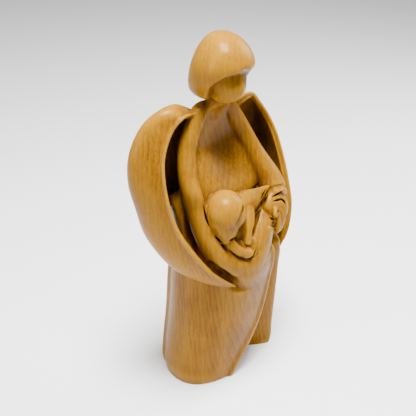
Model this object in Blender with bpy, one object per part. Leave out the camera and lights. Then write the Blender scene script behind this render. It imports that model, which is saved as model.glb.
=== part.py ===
"""A guardian angel with a child in its arms, carved from one block of wood.

The figure faces -Y, with its right hand at -X, and stands on z = 0.
The carving is laid out in two-hundredths of its height.
"""

import bmesh
import bpy
import numpy as np

HEIGHT = 0.200
GRID = HEIGHT / 200

RING_POINTS = 240
LEVEL_STEP = 1.0
FUSE_SIZE = 0.9
SOFTEN_PASSES = 4
KEPT_SHARE = 0.04
FLOOR_SINK = 4
FLOOR_REACH = 60


def through(keys, places):
    """Smooth values at the places, through keys of (place, value, ...)."""
    keys = np.array(keys, float)
    at, values = keys[:, 0], keys[:, 1:]
    slopes = np.gradient(values, at, axis=0)
    places = np.clip(places, at[0], at[-1])
    i = np.clip(np.searchsorted(at, places) - 1, 0, len(at) - 2)
    gap = (at[i + 1] - at[i])[:, None]
    t = (places - at[i])[:, None] / gap
    start = values[i] * (2 * t**3 - 3 * t**2 + 1) + slopes[i] * gap * (t**3 - 2 * t**2 + t)
    end = values[i + 1] * (3 * t**2 - 2 * t**3) + slopes[i + 1] * gap * (t**3 - t**2)
    return start + end


def path_through(points, steps):
    """A smooth path through points in space."""
    places = np.linspace(0, len(points) - 1, steps)
    return through([(i, *p) for i, p in enumerate(points)], places)


def rise(low, high, value):
    """0 below low, 1 above high, and a smooth rise between."""
    t = np.clip((value - low) / (high - low), 0, 1)
    return t * t * (3 - 2 * t)


def hump(value, middle, width):
    """1 at the middle, falling smoothly to nothing about two widths away."""
    return np.exp(-(((value - middle) / width) ** 2))


def turn_angles():
    """Angles round a ring: 0 is the front, 90 the figure's left, -90 its right."""
    return np.linspace(-180, 180, RING_POINTS, endpoint=False)


def directions(angles):
    """Unit steps in plan for angles round a ring."""
    return np.stack([np.sin(np.radians(angles)), -np.cos(np.radians(angles))], 1)


def squared(values, power):
    """Cosines or sines pushed out towards a square: 2 leaves them round, 1 gives a diamond."""
    return np.sign(values) * np.abs(values) ** (2 / power)


def squared_oval(angles, right, left, front, back, power):
    """Points in plan on an oval whose four reaches differ."""
    sine, cosine = np.sin(np.radians(angles)), np.cos(np.radians(angles))
    x = squared(sine, power) * np.where(sine > 0, left, right)
    y = -squared(cosine, power) * np.where(cosine > 0, front, back)
    return np.stack([x, y], 1)


def at_level(plan, centre, z):
    """A ring in plan, moved to its centre and lifted to height z."""
    return np.column_stack([plan + centre, np.full(len(plan), z)])


def add_loft(mesh, rings):
    """Adds a closed skin over rings of equal counts."""
    loops = [[mesh.verts.new(p * GRID) for p in ring] for ring in rings]
    faces = []
    for low, high in zip(loops, loops[1:]):
        for i, corner in enumerate(low):
            j = (i + 1) % len(low)
            faces.append(mesh.faces.new((corner, low[j], high[j], high[i])))
    for ring, loop in ((rings[0], loops[0]), (rings[-1], loops[-1])):
        middle = mesh.verts.new(np.mean(ring, axis=0) * GRID)
        for i, corner in enumerate(loop):
            faces.append(mesh.faces.new((corner, loop[(i + 1) % len(loop)], middle)))
    bmesh.ops.recalc_face_normals(mesh, faces=faces)


def add_sweep(mesh, keys, upright=(0, 0, 1), steps=70, sides=32, power=2.0):
    """Adds a rod through keys of (x, y, z, half width across, half width along upright)."""
    path = path_through(keys, steps)
    ahead = np.gradient(path[:, :3], axis=0)
    ahead /= np.linalg.norm(ahead, axis=1)[:, None]
    turns = np.linspace(0, 2 * np.pi, sides, endpoint=False)
    across, along = squared(np.cos(turns), power), squared(np.sin(turns), power)
    rings = []
    for (x, y, z, wide, tall), forward in zip(path, ahead):
        side = np.cross(forward, upright)
        side /= np.linalg.norm(side)
        up = np.cross(side, forward)
        around = np.outer(across * wide, side) + np.outer(along * tall, up)
        rings.append(np.array([x, y, z]) + around)
    add_loft(mesh, rings)


def add_egg(mesh, centre, halves, turn=0.0, rings=24, sides=40):
    """Adds an egg, turned about the upright line through its centre, in degrees."""
    turn = np.radians(turn)
    spin = np.array([[np.cos(turn), -np.sin(turn), 0], [np.sin(turn), np.cos(turn), 0], [0, 0, 1]])
    around = np.linspace(0, 2 * np.pi, sides, endpoint=False)
    loops = []
    for climb in np.radians(np.linspace(-90, 90, rings + 2)[1:-1]):
        ring = np.stack([np.cos(around), np.sin(around), np.full(sides, np.tan(climb))], 1)
        loops.append(centre + (ring * np.cos(climb) * halves) @ spin.T)
    add_loft(mesh, loops)


def add_turned(mesh, centre, axis, profile, sides=64):
    """Adds a form turned about an axis, from a profile of (place along it, radius)."""
    axis = np.array(axis) / np.linalg.norm(axis)
    side = np.cross(axis, (0, 0, 1))
    side /= np.linalg.norm(side)
    up = np.cross(side, axis)
    turns = np.linspace(0, 2 * np.pi, sides, endpoint=False)
    around = np.outer(np.cos(turns), side) + np.outer(np.sin(turns), up)
    add_loft(mesh, [centre + along * axis + radius * around for along, radius in profile])


BODY_KEYS = [
    # z, right, left, front, back, middle y, squareness, hollow of the chest, its half width
    (-FLOOR_SINK, 33.5, 32, 20.5, 22, 0, 2.4, 0, 14),
    (0, 34, 32.5, 21, 22.5, 0, 2.4, 0, 14),
    (4, 35, 33.5, 21.8, 23, 0, 2.35, 0, 14),
    (14, 34.5, 33, 23, 23, 0, 2.3, 0, 14),
    (40, 31.5, 31.5, 26.6, 21.5, 0, 2.25, 0, 14),
    (65, 29.5, 30, 29.3, 21, -0.3, 2.2, 0, 14),
    (78, 28.5, 28, 30.8, 21, -1, 2.15, 0, 14),
    (84, 28, 27.2, 29.6, 21.5, -1, 2.1, 0, 14),
    (88, 28, 27, 22, 22, -1, 2.1, 0, 14),
    (92, 28, 27.2, 12, 22, -1, 2.1, 0, 14),
    (98, 28, 28.5, 8, 22, -1, 2.1, 0, 14),
    (105, 28.5, 29, 8, 21.8, -1, 2.1, 0, 14),
    (109, 29, 29, 9, 21.5, -1, 2.1, 0, 14),
    (113, 29, 29, 12, 21, -1, 2.1, 0.3, 15),
    (117, 28, 28, 12.2, 14.2, -1, 2.1, 1.6, 15),
    (124, 26, 26, 9.4, 13.5, -1, 2.05, 4.2, 15),
    (132, 23, 23, 5.4, 13, -0.5, 2.0, 5.6, 15),
    (140, 21, 21, 4.2, 10, 3, 2.0, 4.6, 15),
    (148, 18.5, 18.5, 4, 9.5, 4, 2.0, 3, 15),
    (156, 14, 14, 4, 9, 4, 2.0, 1, 15),
    (161, 10, 10, 4.5, 9.5, 2.5, 2.0, 0.3, 15),
    (164, 7, 7, 4.4, 7.5, 0, 2.0, 0, 15),
    (176, 6, 6, 6, 6, -2, 2.0, 0, 15),
]
HOLLOW_MIDDLE_X = 3

MANTLE_EDGE_KEYS = [
    # z, angle of the mantle's free edge round the robe, angle of the left fold's corner
    (-FLOOR_SINK, -12, 51),
    (0, -10, 51),
    (20, 3, 51),
    (45, 18, 49),
    (75, 29, 47),
    (95, 34, 46),
    (110, 38, 44),
]
SLIT_DEPTH = 11
MANTLE_LIP = 1.3
FOLD_CORNER = 4.4

GROOVE_KEYS = [
    # z, then angle and depth of the groove behind the right sleeve, which runs on over the right wing's tip
    (64, -14, 0), (70, -26, 3), (78, -40, 6), (88, -56, 6.5), (96, -68, 6), (104, -78, 5),
    (112, -86, 5), (120, -92, 3), (128, -95, 0),
]
GROOVE_WIDTH = 8
LEFT_GROOVE_LEVELS = (88, 98)
MANTLE_TOP_LEVELS = (86, 98)
BACK_LEDGE_LEVELS = (107, 118)
BACK_FOLDS = ((-134, 2.6), (-154, 1), (180, 1.2), (154, 1), (134, 2.2))


def body_rings():
    """The robe from the floor to the neck: slit, left fold, chest hollow and the folds of the back."""
    angles = turn_angles()
    out = directions(angles)
    levels = np.arange(BODY_KEYS[0][0], BODY_KEYS[-1][0] + LEVEL_STEP / 2, LEVEL_STEP)
    sizes = through(BODY_KEYS, levels)
    edges = through(MANTLE_EDGE_KEYS, levels)
    grooves = through(GROOVE_KEYS, levels)
    rings = []
    for z, size, (edge, corner), (groove, depth) in zip(levels, sizes, edges, grooves):
        right, left, front, back, middle_y, power, hollow, hollow_width = size
        plan = squared_oval(angles, right, left, front, back, power)
        below = 1 - rise(*MANTLE_TOP_LEVELS, z)
        in_slit = rise(edge - 1, edge + 1.5, angles) * (1 - rise(corner - 13, corner - 2, angles))
        push = -SLIT_DEPTH * in_slit * below
        push += MANTLE_LIP * hump(angles, edge - 3, 3.5) * below
        push += FOLD_CORNER * hump(angles, corner + 1, 11) * below
        push -= depth * hump(angles, groove, GROOVE_WIDTH)
        push -= depth * hump(angles, -groove, GROOVE_WIDTH) * rise(*LEFT_GROOVE_LEVELS, z)
        behind = 1 - rise(*BACK_LEDGE_LEVELS, z)
        for turn, height in BACK_FOLDS:
            apart = (angles - turn + 180) % 360 - 180
            push += height * hump(apart, 0, 6) * behind
        plan = plan + out * push[:, None]
        facing = rise(0.0, 0.25, np.cos(np.radians(angles)))
        plan[:, 1] += hollow * hump(plan[:, 0], HOLLOW_MIDDLE_X, hollow_width) * facing
        rings.append(at_level(plan, (0, middle_y), z))
    return rings


RIGHT_SLEEVE = [
    # x, y, z, half width across, half width along upright; it runs on as the rim of the cradle
    (-4, 5, 161.5, 3.6, 3.6), (-9.8, 4.6, 159, 4.6, 4.8), (-15.7, 4.1, 150.3, 4.8, 5.2),
    (-20.2, 2.7, 141.8, 4.9, 5.3), (-23.7, -1.3, 131.2, 5, 5.6),
    (-25, -5.1, 123.5, 4.9, 6), (-24.7, -8, 114, 4.5, 6), (-25, -12.6, 104, 4.3, 5.8),
    (-24, -17.3, 96, 4.2, 5.6), (-20.5, -21.7, 88, 3.9, 5.2), (-14.8, -25.4, 83, 3.2, 5),
    (-7.8, -28.7, 79.7, 2.4, 5.5),
    (-1, -30.2, 80, 2.0, 5.5), (4, -30, 83.5, 1.8, 5.5), (9, -28.8, 89.5, 1.6, 5), (13, -27.3, 96, 1.4, 4),
]
LEFT_SLEEVE = [
    (4, 5, 161.5, 3.6, 3.6), (9.8, 4.6, 159, 4.6, 4.8), (15.7, 4.1, 150.3, 4.8, 5.2),
    (20.2, 2.7, 141.8, 4.9, 5.3), (23.7, -1.3, 131.2, 5.2, 5.9), (25.8, -6, 123, 5.9, 6.8),
    (27.4, -11.4, 115.6, 6.7, 7.6), (27, -15, 111.8, 7, 7.4), (26.3, -17, 110, 6.8, 7.2),
]
LEFT_CUFF = [(26.4, -15, 111.6, 6.1, 6.3), (25.8, -17.8, 109.1, 6, 6.2)]
LEFT_CUFF_HEM = [(25.8, -18.2, 108.7, 6.7, 6.9), (25.3, -20, 107.1, 6.6, 6.8)]
LEFT_HAND = [
    (25, -18.4, 108.4, 5.6, 4.8), (22.4, -21.4, 105.4, 7.8, 4.6), (20.8, -23.8, 101.8, 7.8, 4),
    (19.4, -25.2, 98.6, 5, 3), (19.4, -26, 96.2, 3, 2),
]
HAND_UPRIGHT = (0, -0.77, 0.64)
THUMB = [
    (20.5, -23, 105.5, 2.2, 2.2), (18, -25.6, 104.4, 1.9, 1.9), (15.8, -27.6, 102.6, 1.6, 1.6),
    (15, -28.2, 101.4, 0.8, 0.8),
]
FINGER_TOPS = ((18, -26.4), (20.6, -26.4), (23.4, -25.4), (26, -23.4))
FINGER_ENDS = ((17.4, -28.6), (19.6, -28.4), (22.2, -27.2), (24.8, -25))
FINGER_LEVELS = (103.5, 98, 94, 91)
FINGER_RADIUS = 1.5
FINGER_TIP_RADIUS = 1.0

RIGHT_WING = {
    "rim": [
        (-14, 4, 160), (-23.7, 0.8, 162), (-31, 1.8, 156.5), (-38.3, -0.1, 146), (-42, -4, 134.5),
        (-43.2, -9, 121), (-42.2, -13.8, 110), (-37.5, -20.9, 97), (-29, -25.3, 84), (-14.4, -27.4, 70.4),
    ],
    "bulge": [
        (-13, 9.5, 161.5), (-24.5, 9.5, 166.5), (-37.5, 14, 160), (-43.5, 19, 145), (-45, 20, 129),
        (-44, 17, 114), (-43.5, 10, 98), (-38.5, -4, 83), (-27.5, -18.5, 74.5), (-14.6, -26.8, 70),
    ],
    "back": [
        (-5, 11, 156), (-6, 13, 157.5), (-7, 15, 152), (-7.5, 17, 143), (-8, 17.5, 129), (-10, 18.5, 112),
        (-20.5, 18.5, 111), (-30, 6, 91), (-23, -15, 77), (-15, -25.4, 70.6),
    ],
}
LEFT_WING = {
    "rim": [
        (15, 4, 158), (23.7, 0.8, 162), (31, 1.8, 156.5), (38.3, -0.1, 146), (42, -4, 134.5),
        (43, -9, 121), (42.2, -13.8, 109), (41, -18, 95), (37.5, -19.5, 80), (31, -19, 69.5),
    ],
    "bulge": [
        (13, 10, 152), (25, 9.5, 158), (36.5, 13, 153.5), (43, 18, 142.5), (45, 20, 129), (44.5, 16, 114),
        (43.5, 8, 99), (41.5, -3, 84), (37, -11, 73.5), (31.5, -16.5, 68.5),
    ],
    "back": [
        (5, 11, 150), (6, 13, 152), (7, 15, 149), (7.5, 17, 143), (8, 17.5, 129), (10, 18.5, 112),
        (20.5, 18.5, 111), (31, 5, 91), (30, -8, 77), (27, -14, 70),
    ],
}
WING_THICKNESS = 4.2
WING_RIM_THICKNESS = 2.4
WING_TIP_TAPER = 0.55
WING_BEADS = (0.8, 0.9, 1, 1, 1, 1, 1, 1, 0.8, 0.4)
WING_RINGS = 90
WING_SIDES = 30


def wing_rings(lines, side):
    """A wing as a curved leaf: each ring runs along its outer face from rim to back edge, and back inside."""
    rim, bulge, back = (path_through(lines[name], WING_RINGS) for name in ("rim", "bulge", "back"))
    t = np.linspace(0, 1, WING_SIDES)[:, None]
    ahead = np.gradient(bulge, axis=0)
    rings = []
    tapers = 1 - WING_TIP_TAPER * rise(0.86, 1, np.linspace(0, 1, WING_RINGS))
    for start, middle, end, forward, taper in zip(rim, bulge, back, ahead, tapers):
        control = 2 * middle - (start + end) / 2
        outer = (1 - t) ** 2 * start + 2 * t * (1 - t) * control + t**2 * end
        inward = np.cross(forward, np.gradient(outer, axis=0)) * side
        inward /= np.linalg.norm(inward, axis=1)[:, None] + 1e-9
        thick = WING_RIM_THICKNESS + (WING_THICKNESS - WING_RIM_THICKNESS) * np.sin(np.pi * t) ** 0.7
        inner = outer + inward * thick * taper
        rings.append(np.concatenate([outer, inner[::-1]]))
    return rings


HAIR_KEYS = [
    # z, sides, front, back, middle y
    (167.5, 6, 6, 9, 2),
    (168.3, 10.5, 10, 12, 1.2),
    (170, 13, 12.5, 14, 0.8),
    (174, 14.8, 14.5, 15, 0.3),
    (180, 15.4, 15.6, 15, -0.8),
    (186, 15, 15.6, 14.8, -2.4),
    (191, 13.2, 13.6, 13, -2.7),
    (195, 10.6, 10.8, 10.2, -2.3),
    (198, 7.2, 7.2, 6.8, -1.6),
    (199.6, 3.4, 3.4, 3.2, -1),
    (200, 0.8, 0.8, 0.8, -1),
]
HAIR_SIDE_RIDGE = 0.5
FACE_OPENING_KEYS = [
    # z, half angle of the opening in the hair
    (166, 74), (170, 70), (174, 64), (178.5, 54), (180.5, 45), (183, 30), (184.5, 6),
]
FACE_RECESS = 9
FRINGE_LEVELS = (175.5, 187)
FRINGE_SPREAD = 8
HAIR_RIDGE_ANGLE = 68
HAIR_RIDGE_WIDTH = 9
HAIR_RIDGE_START = (168, 174)
HAIR_RIDGE_END = (188, 196)
HAIR_STEP = 0.5
HAIR_SQUARENESS = 2.15


def hair_rings():
    """The bobbed hair as a cap, hollowed at the front for the face."""
    angles = turn_angles()
    out = directions(angles)
    levels = np.arange(HAIR_KEYS[0][0], HAIR_KEYS[-1][0] + HAIR_STEP / 10, HAIR_STEP)
    sizes = through(HAIR_KEYS, levels)
    openings = through(FACE_OPENING_KEYS, levels)
    rings = []
    for z, (sides, front, back, middle_y), (opening,) in zip(levels, sizes, openings):
        plan = squared_oval(angles, sides, sides, front, back, HAIR_SQUARENESS)
        in_face = 1 - rise(opening - FRINGE_SPREAD, opening + FRINGE_SPREAD, np.abs(angles))
        in_face = in_face * (1 - rise(*FRINGE_LEVELS, z))
        ridge = HAIR_SIDE_RIDGE * hump(np.abs(angles), HAIR_RIDGE_ANGLE, HAIR_RIDGE_WIDTH)
        ridge = ridge * rise(*HAIR_RIDGE_START, z) * (1 - rise(*HAIR_RIDGE_END, z))
        plan = plan + out * (ridge - FACE_RECESS * in_face)[:, None]
        rings.append(at_level(plan, (0, middle_y), z))
    return rings


FACE_KEYS = [
    # z, half width, front, back, middle y: the blank face comes to a soft ridge down its middle
    (166.2, 2, 2, 2, -7),
    (166.8, 5.2, 5.2, 5.5, -5.6),
    (168.5, 8, 8.6, 7, -4.5),
    (172, 9.8, 11, 8, -4),
    (175, 10.6, 11.2, 8, -4),
    (180, 11.8, 9.8, 8, -4),
    (186, 12, 8.4, 8, -4),
    (190, 6, 7, 6, -4),
]
FACE_RIDGE = 0.7
FACE_RIDGE_WIDTH = 14
FACE_RIDGE_LEVELS = (168, 172)
FACE_STEP = 0.7
FACE_SQUARENESS = 1.9


def face_rings():
    """The blank face, two plain planes that meet down its middle."""
    angles = turn_angles()
    out = directions(angles)
    levels = np.arange(FACE_KEYS[0][0], FACE_KEYS[-1][0], FACE_STEP)
    rings = []
    for z, (sides, front, back, middle_y) in zip(levels, through(FACE_KEYS, levels)):
        plan = squared_oval(angles, sides, sides, front, back, FACE_SQUARENESS)
        ridge = FACE_RIDGE * hump(angles, 0, FACE_RIDGE_WIDTH) * rise(*FACE_RIDGE_LEVELS, z)
        plan = plan + out * ridge[:, None]
        rings.append(at_level(plan, (0, middle_y), z))
    return rings


CHILD_HEAD = (-12.6, -17.2, 112)
CHILD_HEAD_RADIUS = 11.3
CHILD_LOOKS = (0.66, -0.56, -0.5)
CHILD_HAIR_EDGE = 22
CHILD_FACE_RADIUS = 8.2
CHILD_FACE_START = 4
CHILD_FACE_REACH = 7.4
CHILD_NAPE = [
    (-14.5, -16.5, 111, 9.6, 9.6), (-14.9, -18.2, 106, 9, 9), (-15.7, -20.1, 101, 6.4, 6.4),
    (-17.2, -21.3, 96.6, 2.4, 2.4),
]
FACING_OUT = (-0.6, -0.6, 0.5)
CHILD_WRAP = [
    (0, -16, 110, 3, 6.5), (8, -16.8, 111, 3, 5.8), (12.5, -17, 112, 2.4, 4.2), (16, -17.6, 113.4, 1.6, 2.6),
    (20, -18.4, 115, 0.9, 0.9),
]
WRAP_UPRIGHT = (0, 0.5, 0.86)
CHILD_FAR_ARM = [
    (5.3, -16.5, 110, 3.2, 3), (2.2, -19.7, 106, 3.9, 3.4), (-1.1, -22.7, 100.5, 3.7, 3.4),
    (-5, -26.2, 92.4, 2.6, 2.6),
]
CHILD_NEAR_ARM = [
    (-15, -20, 99, 3, 3.2), (-14, -23, 95, 3.2, 3.2), (-11.5, -26, 91.5, 2.8, 2.8),
    (-7.5, -28.4, 89.2, 2.3, 2.3),
]
CHILD_HANDS = (-7.2, -28.6, 89)
CHILD_GOWN = [
    (17.8, -20.6, 102.6, 4.6, 2.4), (10.3, -23.2, 97.8, 5, 3), (3.4, -26, 91.6, 4.2, 3),
    (-4, -27.6, 86, 2.6, 2.6),
]


def child_head_profile():
    """The round back of the hair, its cut edge, and the smaller blank face inside the edge."""
    hair = np.radians(np.linspace(-86, CHILD_HAIR_EDGE, 24))
    face = np.radians(np.linspace(4, 86, 14))
    back = [(CHILD_HEAD_RADIUS * np.sin(a), CHILD_HEAD_RADIUS * np.cos(a)) for a in hair]
    front = [
        (CHILD_FACE_START + CHILD_FACE_REACH * np.sin(a), CHILD_FACE_RADIUS * np.cos(a)) for a in face
    ]
    return back + front


def add_child(mesh):
    """The child: bobbed head, blank face, two arms that meet, and the wrapped gown."""
    add_turned(mesh, CHILD_HEAD, CHILD_LOOKS, child_head_profile())
    add_sweep(mesh, CHILD_NAPE, upright=(1, 0, 0))
    add_sweep(mesh, CHILD_WRAP, upright=WRAP_UPRIGHT, power=1.6)
    add_sweep(mesh, CHILD_FAR_ARM, upright=FACING_OUT, power=1.3)
    add_sweep(mesh, CHILD_NEAR_ARM)
    add_egg(mesh, CHILD_HANDS, (3.6, 2.6, 2.6), turn=-20)
    add_sweep(mesh, CHILD_GOWN, upright=FACING_OUT, power=3)


CRADLE_FILL = [
    # centre and half sizes of the rounds that fill the lap and back the child
    ((0, -16.8, 96), (12, 7.5, 9)),
    ((16.5, -24, 98.5), (3.2, 3.2, 4.5)),
    ((12, -8, 101), (14, 11, 10)),
    ((23.5, -11.5, 99), (7, 9, 10)),
    ((-1, -13, 88), (25, 16, 9.5)),
]


def add_left_hand(mesh):
    """The hand that holds the mantle's corner: cuff with its hem, palm, thumb and four fingers."""
    add_sweep(mesh, LEFT_CUFF)
    add_sweep(mesh, LEFT_CUFF_HEM)
    add_sweep(mesh, LEFT_HAND, upright=HAND_UPRIGHT, power=2.4)
    add_sweep(mesh, THUMB, steps=24, sides=16)
    top, high, low, end = FINGER_LEVELS
    for (top_x, top_y), (end_x, end_y) in zip(FINGER_TOPS, FINGER_ENDS):
        finger = [
            (top_x, top_y, top, FINGER_RADIUS, FINGER_RADIUS),
            (top_x, (top_y + end_y) / 2 - 0.8, high, FINGER_RADIUS, FINGER_RADIUS),
            (end_x, end_y, low, FINGER_RADIUS, FINGER_RADIUS),
            (end_x, end_y + 0.5, end, FINGER_TIP_RADIUS, FINGER_TIP_RADIUS),
        ]
        add_sweep(mesh, finger, upright=(1, 0, 0), steps=24, sides=16)


def add_wing(mesh, lines, side):
    """One wing with the thin bead along its rim."""
    add_loft(mesh, wing_rings(lines, side))
    add_sweep(mesh, [(*point, bead, bead) for point, bead in zip(lines["rim"], WING_BEADS)], sides=16)


def all_forms():
    """Every form of the carving as closed skins that run into one another."""
    mesh = bmesh.new()
    add_loft(mesh, body_rings())
    add_sweep(mesh, RIGHT_SLEEVE)
    add_sweep(mesh, LEFT_SLEEVE)
    add_wing(mesh, RIGHT_WING, 1)
    add_wing(mesh, LEFT_WING, -1)
    add_loft(mesh, hair_rings())
    add_loft(mesh, face_rings())
    for centre, halves in CRADLE_FILL:
        add_egg(mesh, centre, halves)
    add_child(mesh)
    add_left_hand(mesh)
    data = bpy.data.meshes.new("guardian_angel")
    mesh.to_mesh(data)
    mesh.free()
    return data


def hidden_cutter(name, mesh):
    """An object that only cuts: drawn as wire and left out of renders."""
    data = bpy.data.meshes.new(name)
    mesh.to_mesh(data)
    mesh.free()
    cutter = bpy.data.objects.new(name, data)
    cutter.hide_render = True
    cutter.display_type = "WIRE"
    bpy.context.scene.collection.objects.link(cutter)
    return cutter


CARVED_LINES = {
    # half width and half depth of the cut, then the places on the surface that it runs through
    "wide slot beside the wrap's end": (0.95, 3.2, [
        (13.6, -20.2, 104.8), (15.5, -20.2, 108.6), (18.5, -19.6, 111.2),
    ]),
    "thin slot beside it": (0.5, 2, [(12.3, -19.9, 110.4), (14.5, -19.4, 112.4), (17.2, -18.9, 114.4)]),
    "upper groove of the cuff": (0.7, 1.5, [(18.4, -22.4, 110.2), (22, -23.1, 111), (26.8, -23.8, 112.2)]),
    "lower groove of the cuff": (0.7, 1.6, [
        (17.8, -23.4, 108.4), (20.5, -24.4, 108.4), (23.7, -24.9, 107.8), (24.9, -26.1, 106.1),
        (24.8, -27.2, 104.4),
    ]),
    "line below the thumb": (0.75, 2, [(13.4, -25.5, 101), (14.4, -26.7, 100.2), (15.4, -28.2, 100.4)]),
    "line beside the thumb": (0.6, 1.5, [(16.4, -28.4, 103), (17.6, -28.1, 104.4), (19.8, -27.4, 105.6)]),
    "valley beside the gown": (1.5, 3, [
        (12.6, -19.8, 103.8), (8, -21.3, 101.8), (3.8, -23.6, 99.8), (0.6, -25.4, 97.4), (-2, -27, 94.2),
    ]),
    "edge of the child's hair": (0.55, 1.5, [
        (-6.7, -19.9, 121.1), (-5.6, -22.2, 119.4), (-5.4, -23.4, 116.9), (-8.2, -25.4, 114.3),
        (-10.8, -26.7, 113.1),
    ]),
    "gap below the child's chin": (1, 2.6, [(-17, -24.3, 99.5), (-15, -25, 99.8), (-11.8, -24.2, 99)]),
    "line behind the child's hair": (0.8, 2.2, [
        (-23.8, -12.8, 118.1), (-23.6, -14, 112.6), (-23, -16, 107.4), (-21.2, -17.9, 102.6),
        (-20.2, -19.9, 99.8), (-19, -22, 98),
    ]),
    "line below the child's arms": (0.65, 1.5, [
        (-16.9, -23.8, 94.4), (-15.6, -25.5, 92.1), (-12.3, -27.4, 88.3), (-8.1, -29.4, 86.4),
        (-4.1, -30, 86.8), (-1.3, -29.7, 89.6),
    ]),
    "undercut above the right wing's tip": (2.8, 5, [
        (-29.5, -18, 90), (-27, -20, 87.5), (-24, -22, 84), (-19.5, -24, 79.5), (-14.8, -25.5, 75.2),
    ]),
}
LINE_TAPER = 0.25
LINE_STEPS = 10
LINE_SIDES = 4


def carved_line_cutter():
    """Hidden blades that cut the carved lines, each deepest along its middle."""
    mesh = bmesh.new()
    for wide, deep, places in CARVED_LINES.values():
        ends = (0, len(places) - 1)
        shares = [LINE_TAPER if i in ends else 1 for i in range(len(places))]
        keys = [(*place, wide * share, deep * share) for place, share in zip(places, shares)]
        add_sweep(mesh, keys, upright=FACING_OUT, steps=LINE_STEPS, sides=LINE_SIDES)
    return hidden_cutter("line cutter", mesh)


def floor_cutter():
    """A hidden block below z = 0 that cuts the underside flat."""
    mesh = bmesh.new()
    bmesh.ops.create_cube(mesh, size=1)
    bmesh.ops.scale(mesh, vec=np.array((2, 2, 1)) * FLOOR_REACH * GRID, verts=mesh.verts)
    bmesh.ops.translate(mesh, vec=(0, 0, -FLOOR_REACH * GRID / 2), verts=mesh.verts)
    return hidden_cutter("floor cutter", mesh)


def wood_material():
    """Honey-brown lacquered wood."""
    material = bpy.data.materials.new("lacquered wood")
    material.use_nodes = True
    shader = material.node_tree.nodes["Principled BSDF"]
    shader.inputs["Base Color"].default_value = (0.42, 0.19, 0.045, 1)
    shader.inputs["Roughness"].default_value = 0.36
    shader.inputs["Metallic"].default_value = 0
    return material


def build_angel():
    """The one carved piece: its forms fused, softened, thinned to facets and cut flat below."""
    angel = bpy.data.objects.new("guardian_angel", all_forms())
    bpy.context.scene.collection.objects.link(angel)
    angel.data.materials.append(wood_material())
    fuse = angel.modifiers.new("fuse the forms", "REMESH")
    fuse.mode = "VOXEL"
    fuse.voxel_size = FUSE_SIZE * GRID
    fuse.use_smooth_shade = True
    soften = angel.modifiers.new("soften", "SMOOTH")
    soften.factor = 0.5
    soften.iterations = SOFTEN_PASSES
    thin = angel.modifiers.new("fewer facets", "DECIMATE")
    thin.ratio = KEPT_SHARE
    for name, cutter in (("carved lines", carved_line_cutter()), ("flat underside", floor_cutter())):
        cut = angel.modifiers.new(name, "BOOLEAN")
        cut.operation = "DIFFERENCE"
        cut.solver = "EXACT"
        cut.object = cutter


def main():
    for old in list(bpy.data.objects):
        bpy.data.objects.remove(old)
    build_angel()


main()
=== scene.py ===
"""The guardian angel with its child, carved from one block and lacquered honey brown.

The figure faces -Y, with its right hand at -X, and stands on z = 0.
The carving is laid out in two-hundredths of its height.
"""

import math

import bmesh
import bpy
import numpy as np
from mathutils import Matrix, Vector


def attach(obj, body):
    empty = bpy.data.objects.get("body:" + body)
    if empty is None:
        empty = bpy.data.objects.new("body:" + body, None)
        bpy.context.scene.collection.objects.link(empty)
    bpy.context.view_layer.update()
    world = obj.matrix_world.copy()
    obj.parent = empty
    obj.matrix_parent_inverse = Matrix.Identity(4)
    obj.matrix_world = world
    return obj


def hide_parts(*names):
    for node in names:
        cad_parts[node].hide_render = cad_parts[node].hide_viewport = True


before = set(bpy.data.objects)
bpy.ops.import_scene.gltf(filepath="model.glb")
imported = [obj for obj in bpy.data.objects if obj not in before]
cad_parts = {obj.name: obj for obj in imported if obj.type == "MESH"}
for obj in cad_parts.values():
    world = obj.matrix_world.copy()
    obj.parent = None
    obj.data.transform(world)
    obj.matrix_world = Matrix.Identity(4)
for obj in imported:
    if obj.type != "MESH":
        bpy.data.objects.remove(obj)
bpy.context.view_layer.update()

HEIGHT = 0.200
GRID = HEIGHT / 200

RING_POINTS = 320
LEVEL_STEP = 0.7
FUSE_SIZE = 0.5
SOFTEN_PASSES = 3
SOFTEN_FACTOR = 0.5
KEPT_SHARE = 0.3
FLOOR_SINK = 4
FLOOR_REACH = 60


def through(keys, places):
    """Smooth values at the places, through keys of (place, value, ...)."""
    keys = np.array(keys, float)
    at, values = keys[:, 0], keys[:, 1:]
    slopes = np.gradient(values, at, axis=0)
    places = np.clip(places, at[0], at[-1])
    i = np.clip(np.searchsorted(at, places) - 1, 0, len(at) - 2)
    gap = (at[i + 1] - at[i])[:, None]
    t = (places - at[i])[:, None] / gap
    start = values[i] * (2 * t**3 - 3 * t**2 + 1) + slopes[i] * gap * (t**3 - 2 * t**2 + t)
    end = values[i + 1] * (3 * t**2 - 2 * t**3) + slopes[i + 1] * gap * (t**3 - t**2)
    return start + end


def path_through(points, steps):
    """A smooth path through points in space."""
    places = np.linspace(0, len(points) - 1, steps)
    return through([(i, *p) for i, p in enumerate(points)], places)


def rise(low, high, value):
    """0 below low, 1 above high, and a smooth rise between."""
    t = np.clip((value - low) / (high - low), 0, 1)
    return t * t * (3 - 2 * t)


def hump(value, middle, width):
    """1 at the middle, falling smoothly to nothing about two widths away."""
    return np.exp(-(((value - middle) / width) ** 2))


def turn_angles():
    """Angles round a ring: 0 is the front, 90 the figure's left, -90 its right."""
    return np.linspace(-180, 180, RING_POINTS, endpoint=False)


def directions(angles):
    """Unit steps in plan for angles round a ring."""
    return np.stack([np.sin(np.radians(angles)), -np.cos(np.radians(angles))], 1)


def squared(values, power):
    """Cosines or sines pushed out towards a square: 2 leaves them round, 1 gives a diamond."""
    return np.sign(values) * np.abs(values) ** (2 / power)


def squared_oval(angles, right, left, front, back, power):
    """Points in plan on an oval whose four reaches differ."""
    sine, cosine = np.sin(np.radians(angles)), np.cos(np.radians(angles))
    x = squared(sine, power) * np.where(sine > 0, left, right)
    y = -squared(cosine, power) * np.where(cosine > 0, front, back)
    return np.stack([x, y], 1)


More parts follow.
